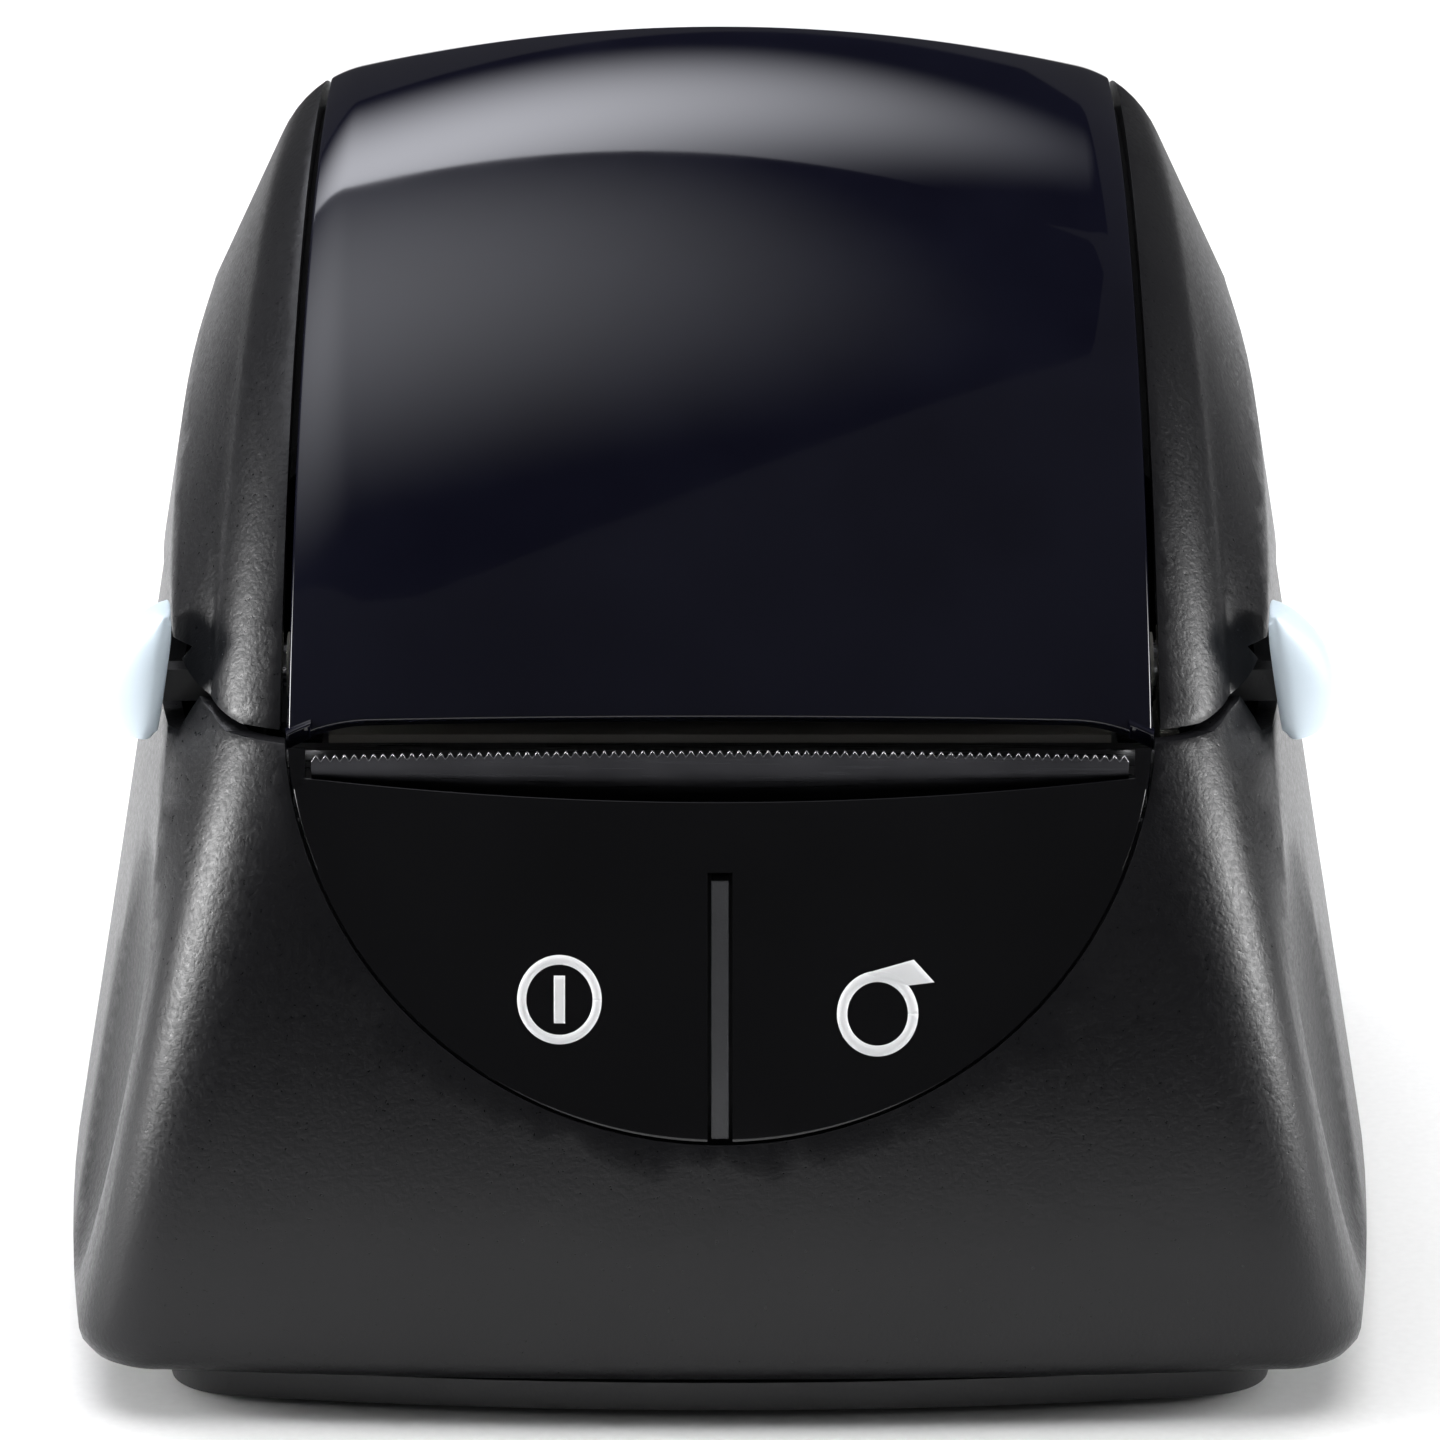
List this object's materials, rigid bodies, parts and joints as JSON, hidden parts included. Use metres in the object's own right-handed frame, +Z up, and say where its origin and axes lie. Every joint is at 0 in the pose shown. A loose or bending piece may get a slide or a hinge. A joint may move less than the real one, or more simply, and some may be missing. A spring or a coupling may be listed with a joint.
{
  "type": "label printer",
  "caption": "Desktop label maker with a clamshell lid, smoked window over the roll bay, two glossy keys in front, side latches and a serrated tear bar",
  "frame": {"origin": "middle of the footprint, on the surface the printer stands on", "axes": "+X to the right seen from the front, +Y from the front to the hinge, +Z up"},
  "size_m": [0.1956, 0.2248, 0.1695],
  "materials": {
    "case_black": "textured black moulding",
    "panel_gloss": "piano black, high gloss",
    "smoked_window": "smoked dark clear plastic, high gloss",
    "latch_blue": "pale blue-white satin",
    "inner_black": "plain black, light texture",
    "inner_grey": "grey, light texture",
    "gear_white": "natural acetal",
    "rubber_black": "matt rubber",
    "steel": "bright sheet or turned steel",
    "zinc": "zinc plated",
    "alloy": "extruded, plain",
    "ceramic": "glazed alumina",
    "board_green": "solder mask over glass laminate",
    "chip_black": "moulded component bodies",
    "cable_white": "flat cable film"
  },
  "bodies": {
    "base": {"bottom_tray": "inner_black", "rubber_feet": "rubber_black", "tray_screws": "zinc", "lower_housing": "case_black", "front_panel": "panel_gloss", "key_carrier": "inner_grey", "key_board": "board_green", "tact_switches": "chip_black", "mechanism_frame": "steel", "frame_posts": "inner_black", "mechanism_screws": "zinc", "stepper_motor": "zinc", "idler_axle": "steel", "tear_bar": "steel", "head_springs": "steel", "head_pivot_rod": "steel", "gap_sensor": "chip_black", "lid_switch": "chip_black", "latch_spring": "steel", "media_bay": "inner_black", "guide_pinion_stud": "inner_black", "main_board": "board_green", "board_parts": "chip_black", "board_screws": "zinc", "usb_socket": "steel", "power_socket": "chip_black", "head_cable": "cable_white", "hinge_brackets": "inner_black", "hinge_pins": "steel"},
    "motor_rotor": {"motor_shaft": "steel", "motor_pinion": "gear_white"},
    "idler": {"idler_gear": "gear_white"},
    "head": {"head_heatsink": "alloy", "print_head": "ceramic"},
    "latch": {"latch_arm_left": "inner_black", "latch_arm_right": "inner_black", "latch_shaft": "steel", "latch_button_left": "latch_blue", "latch_button_right": "latch_blue"},
    "power_key": {"power_key": "panel_gloss"},
    "feed_key": {"feed_key": "panel_gloss"},
    "guide_left": {"media_guide_left": "inner_grey"},
    "guide_right": {"media_guide_right": "inner_grey"},
    "guide_gear": {"guide_pinion": "gear_white"},
    "lid": {"lid_shell": "case_black", "lid_window": "smoked_window", "lid_liner": "inner_black", "lid_screws": "zinc", "platen_bracket": "steel", "platen_bushes": "gear_white", "guide_rod": "steel"},
    "platen": {"platen_shaft": "steel", "platen_roller": "rubber_black", "platen_gear": "gear_white"}
  },
  "joints": [
    {"name": "lid_hinge", "type": "hinge", "parent": "base", "child": "lid", "pos_m": [0, 0.097, 0.1], "axis": [-1, 0, 0], "range_deg": [0, 90]},
    {"name": "platen_spin", "type": "hinge", "parent": "lid", "child": "platen", "pos_m": [0, -0.07, 0.0972], "axis": [1, 0, 0], "continuous": true},
    {"name": "idler_spin", "type": "hinge", "parent": "base", "child": "idler", "pos_m": [0, -0.07, 0.0748], "axis": [1, 0, 0], "continuous": true},
    {"name": "motor_spin", "type": "hinge", "parent": "base", "child": "motor_rotor", "pos_m": [0, -0.0596, 0.05679], "axis": [1, 0, 0], "continuous": true},
    {"name": "head_pivot", "type": "hinge", "parent": "base", "child": "head", "pos_m": [0, -0.05, 0.082], "axis": [1, 0, 0], "range_deg": [0, 2], "stiffness_Nm_per_rad": 6, "deforming": ["head_springs"]},
    {"name": "latch_release", "type": "hinge", "parent": "base", "child": "latch", "pos_m": [0, -0.062, 0.034], "axis": [-1, 0, 0], "range_deg": [0, 5], "stiffness_Nm_per_rad": 3},
    {"name": "power_key_press", "type": "hinge", "parent": "base", "child": "power_key", "pos_m": [0, -0.09799, 0.076], "axis": [1, 0, 0], "range_deg": [0, 1.5], "stiffness_Nm_per_rad": 1.2},
    {"name": "feed_key_press", "type": "hinge", "parent": "base", "child": "feed_key", "pos_m": [0, -0.09799, 0.076], "axis": [1, 0, 0], "range_deg": [0, 1.5], "stiffness_Nm_per_rad": 1.2},
    {"name": "guide_left_slide", "type": "slide", "parent": "base", "child": "guide_left", "axis": [1, 0, 0], "range_m": [0, 0.044]},
    {"name": "guide_right_slide", "type": "slide", "parent": "base", "child": "guide_right", "axis": [1, 0, 0], "range_m": [-0.044, 0]},
    {"name": "guide_gear_spin", "type": "hinge", "parent": "base", "child": "guide_gear", "pos_m": [0, 0.023, 0.011], "axis": [0, 0, 1], "range_deg": [0, 361]}
  ],
  "couplings": [
    {"joint": "idler_spin", "follows": "platen_spin", "ratio": -0.4},
    {"joint": "motor_spin", "follows": "platen_spin", "ratio": 1.3333},
    {"joint": "guide_right_slide", "follows": "guide_left_slide", "ratio": -1},
    {"joint": "guide_gear_spin", "follows": "guide_left_slide", "rad_per_m": 142.86}
  ]
}
